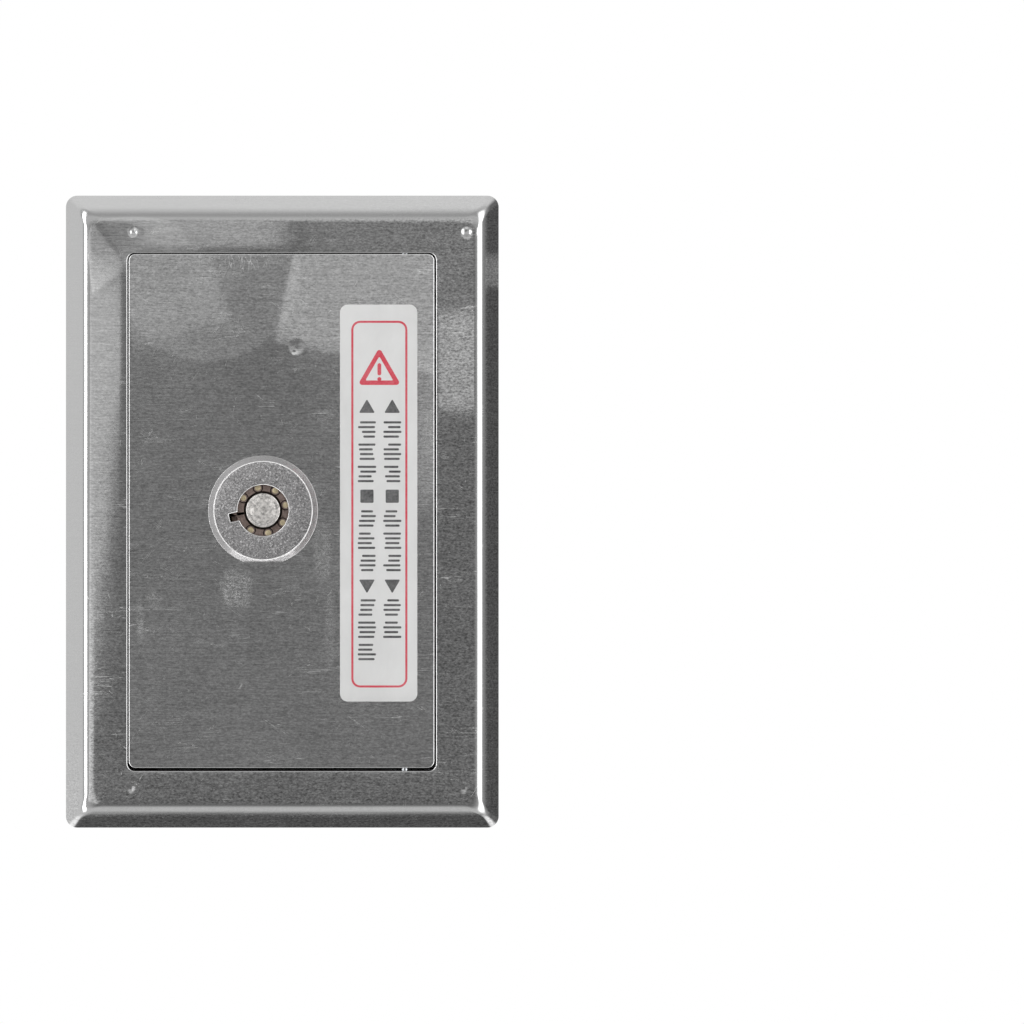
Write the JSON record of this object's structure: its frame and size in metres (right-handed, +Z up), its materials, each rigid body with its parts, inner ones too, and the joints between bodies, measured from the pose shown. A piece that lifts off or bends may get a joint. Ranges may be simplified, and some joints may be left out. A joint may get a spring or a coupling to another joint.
{
  "type": "flush-mounted key-locked control box",
  "caption": "Recessed steel control box with a bevelled faceplate and a flush hinged door held by a tubular key lock, with up, stop and down push buttons behind it.",
  "frame": {"origin": "centre of the faceplate in the plane of the wall surface, where the box goes through the wall cut-out", "axes": "+X to the right, +Z up, -Y out of the wall towards the person in front of the door"},
  "size_m": [0.0822, 0.0554, 0.12],
  "materials": {
    "brushed_steel": "fine horizontal grain, handled and lightly scratched",
    "pin_steel": "plain bright",
    "lock_chrome": "satin plated die casting, speckled",
    "zinc_steel": "zinc plated",
    "brass": "turned",
    "spring_steel": "drawn wire",
    "label_vinyl": "printed vinyl",
    "rubber": "moulded",
    "panel_aluminium": "brushed sheet",
    "bezel_metal": "plated",
    "green_plastic": "moulded",
    "red_plastic": "moulded",
    "black_plastic": "moulded",
    "block_plastic": "moulded",
    "copper_alloy": "stamped strip"
  },
  "bodies": {
    "box": {"front_frame": "brushed_steel", "hinge_pins": "pin_steel", "back_box": "brushed_steel", "cable_grommet": "rubber", "earth_stud": "brass", "earth_washer": "brass", "earth_nut": "brass", "keeper_channel": "brushed_steel", "bumper_pads": "rubber", "switch_panel": "panel_aluminium", "panel_brackets": "zinc_steel", "panel_screws": "zinc_steel", "up_bezel": "bezel_metal", "up_ring_nut": "bezel_metal", "up_spring": "spring_steel", "up_contact_block": "block_plastic", "up_contacts": "copper_alloy", "up_terminal_screws": "zinc_steel", "stop_bezel": "bezel_metal", "stop_ring_nut": "bezel_metal", "stop_spring": "spring_steel", "stop_contact_block": "block_plastic", "stop_contacts": "copper_alloy", "stop_terminal_screws": "zinc_steel", "down_bezel": "bezel_metal", "down_ring_nut": "bezel_metal", "down_spring": "spring_steel", "down_contact_block": "block_plastic", "down_contacts": "copper_alloy", "down_terminal_screws": "zinc_steel"},
    "door": {"door_panel": "brushed_steel", "warning_label": "label_vinyl", "lock_housing": "lock_chrome", "lock_bushing": "brass", "bushing_dowel": "zinc_steel", "driver_pins": "brass", "pin_springs": "spring_steel", "lock_washer": "zinc_steel", "lock_nut": "zinc_steel"},
    "lock_core": {"lock_spindle": "lock_chrome", "key_pins": "brass", "stop_washer": "zinc_steel", "lock_cam": "zinc_steel", "cam_washer": "zinc_steel", "cam_nut": "zinc_steel"},
    "up_button": {"up_cap": "green_plastic", "up_bridge": "copper_alloy"},
    "stop_button": {"stop_cap": "red_plastic", "stop_bridge": "copper_alloy"},
    "down_button": {"down_cap": "black_plastic", "down_bridge": "copper_alloy"}
  },
  "joints": [
    {"name": "door_hinge", "type": "hinge", "parent": "box", "child": "door", "pos_m": [0.0232, -0.0029, 0], "axis": [0, 0, 1], "range_deg": [0, 120]},
    {"name": "lock_turn", "type": "hinge", "parent": "door", "child": "lock_core", "pos_m": [-0.00366, 0, 0.00024], "axis": [0, -1, 0], "range_deg": [0, 90]},
    {"name": "up_press", "type": "slide", "parent": "box", "child": "up_button", "axis": [0, 1, 0], "range_m": [0, 0.0025], "stiffness_N_per_m": 800, "springref_m": -0.002, "deforming": ["up_spring"]},
    {"name": "stop_press", "type": "slide", "parent": "box", "child": "stop_button", "axis": [0, 1, 0], "range_m": [0, 0.0025], "stiffness_N_per_m": 800, "springref_m": -0.002, "deforming": ["stop_spring"]},
    {"name": "down_press", "type": "slide", "parent": "box", "child": "down_button", "axis": [0, 1, 0], "range_m": [0, 0.0025], "stiffness_N_per_m": 800, "springref_m": -0.002, "deforming": ["down_spring"]}
  ]
}
